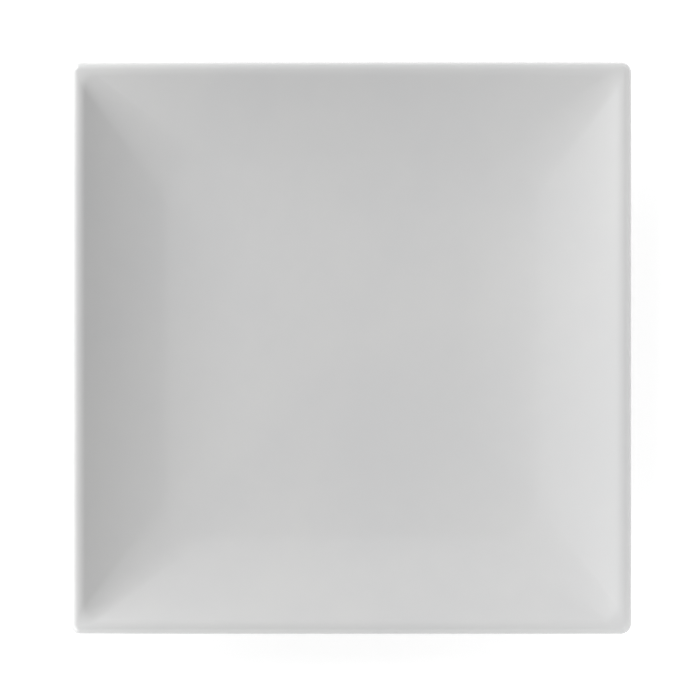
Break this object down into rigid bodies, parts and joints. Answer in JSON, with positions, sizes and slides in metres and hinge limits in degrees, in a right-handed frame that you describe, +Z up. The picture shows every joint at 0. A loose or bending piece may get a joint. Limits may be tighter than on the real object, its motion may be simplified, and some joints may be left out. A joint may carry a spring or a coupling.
{
  "type": "square dinner plate",
  "caption": "Square dinner plate of glazed porcelain: level well, upswept sides with soft corner creases, rounded rim, and a foot ring left bare where it stands.",
  "frame": {"origin": "middle of the plane that the foot ring stands on", "axes": "+Z up out of the well, +X to the plate's right and +Y to its back as it is seen from above"},
  "size_m": [0.255, 0.26, 0.0233],
  "materials": {
    "bare_porcelain": "fired, unglazed and matt",
    "white_glaze": "smooth satin gloss"
  },
  "bodies": {
    "root": {"porcelain_body": "bare_porcelain", "glaze_coat": "white_glaze", "base_glaze": "white_glaze"}
  },
  "joints": []
}
